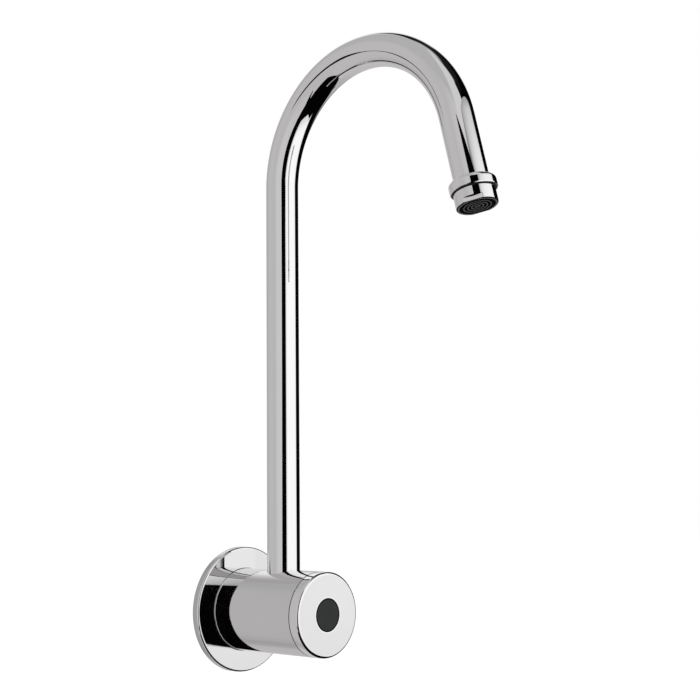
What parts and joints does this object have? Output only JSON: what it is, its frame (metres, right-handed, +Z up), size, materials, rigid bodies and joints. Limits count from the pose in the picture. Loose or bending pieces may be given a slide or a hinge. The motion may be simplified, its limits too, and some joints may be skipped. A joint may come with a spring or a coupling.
{
  "type": "sensor tap",
  "caption": "Wall-mounted sensor tap: round flange, level round body with a dark sensor window in its front face, and a tall swan-neck spout with an aerator.",
  "frame": {"origin": "on the body's axis, in the plane of the wall that the flange and body seat on", "axes": "+Z up along the spout's riser, +Y into the wall along the inlet nipple, +X to the right of someone facing the wall; the tap stands out towards -Y"},
  "size_m": [0.084, 0.2402, 0.417],
  "materials": {
    "polished_chrome": "mirror polished chrome plate on brass",
    "plain_brass": "machined brass",
    "plain_steel": "plain stainless steel",
    "steel_mesh": "fine woven stainless mesh",
    "seal_rubber": "black rubber",
    "foam_rubber": "closed-cell foam",
    "black_plastic": "matt black plastic",
    "pale_plastic": "natural acetal plastic",
    "dark_window": "smoked plastic that passes infrared, polished",
    "clear_lens": "tinted clear resin",
    "circuit_board": "green circuit board",
    "copper_winding": "enamelled copper wire",
    "lead_sheath": "red sheathed lead"
  },
  "bodies": {
    "tap_body": {"armature_spring": "plain_steel", "board_screws": "plain_steel", "body_shell": "polished_chrome", "bonnet_screws": "plain_steel", "cap_lock_screw": "plain_steel", "cap_seal": "seal_rubber", "check_valve_cage": "pale_plastic", "check_valve_spring": "plain_steel", "coil_bobbin": "pale_plastic", "coil_winding": "copper_winding", "control_chip": "black_plastic", "core_clip": "plain_steel", "core_tube": "plain_steel", "diaphragm_membrane": "seal_rubber", "fixed_core": "plain_steel", "flange_seal": "foam_rubber", "front_cap": "polished_chrome", "inlet_filter": "steel_mesh", "inlet_nipple": "plain_brass", "inlet_seal": "seal_rubber", "ir_emitter": "clear_lens", "ir_receiver": "black_plastic", "light_baffle": "black_plastic", "sensor_board": "circuit_board", "sensor_holder": "black_plastic", "sensor_window": "dark_window", "solenoid_yoke": "plain_steel", "spout_stop_screw": "plain_steel", "supply_connector": "pale_plastic", "supply_lead": "lead_sheath", "supply_socket": "black_plastic", "thrust_washer": "pale_plastic", "valve_bonnet": "black_plastic", "valve_connector": "pale_plastic", "valve_lead": "lead_sheath", "valve_seat": "plain_brass", "wall_flange": "polished_chrome", "window_seal": "seal_rubber"},
    "spout": {"spout_tube": "polished_chrome", "spout_foot": "plain_brass", "spout_o_rings": "seal_rubber", "outlet_collar": "polished_chrome", "aerator_housing": "polished_chrome", "aerator_insert": "black_plastic", "aerator_screen": "steel_mesh", "flow_regulator": "pale_plastic", "aerator_washer": "seal_rubber"},
    "armature": {"armature": "plain_steel", "armature_seal": "seal_rubber"},
    "diaphragm": {"diaphragm_plate": "pale_plastic"},
    "check_poppet": {"check_valve_poppet": "pale_plastic", "check_valve_seal": "seal_rubber"}
  },
  "joints": [
    {"name": "spout_swivel", "type": "hinge", "parent": "tap_body", "child": "spout", "pos_m": [0, -0.0435, 0], "axis": [0, 0, 1], "range_deg": [-60, 60]},
    {"name": "armature_travel", "type": "slide", "parent": "tap_body", "child": "armature", "axis": [0, -1, 0], "range_m": [0, 0.0016], "stiffness_N_per_m": 250, "springref_m": -0.003, "deforming": ["armature_spring"]},
    {"name": "diaphragm_lift", "type": "slide", "parent": "tap_body", "child": "diaphragm", "axis": [0, -1, 0], "range_m": [0, 0.0013], "deforming": ["diaphragm_membrane"]},
    {"name": "check_valve_lift", "type": "slide", "parent": "tap_body", "child": "check_poppet", "axis": [0, -1, 0], "range_m": [0, 0.0025], "stiffness_N_per_m": 80, "springref_m": -0.004, "deforming": ["check_valve_spring"]}
  ],
  "couplings": [
    {"joint": "diaphragm_lift", "follows": "armature_travel", "ratio": 0.75}
  ]
}
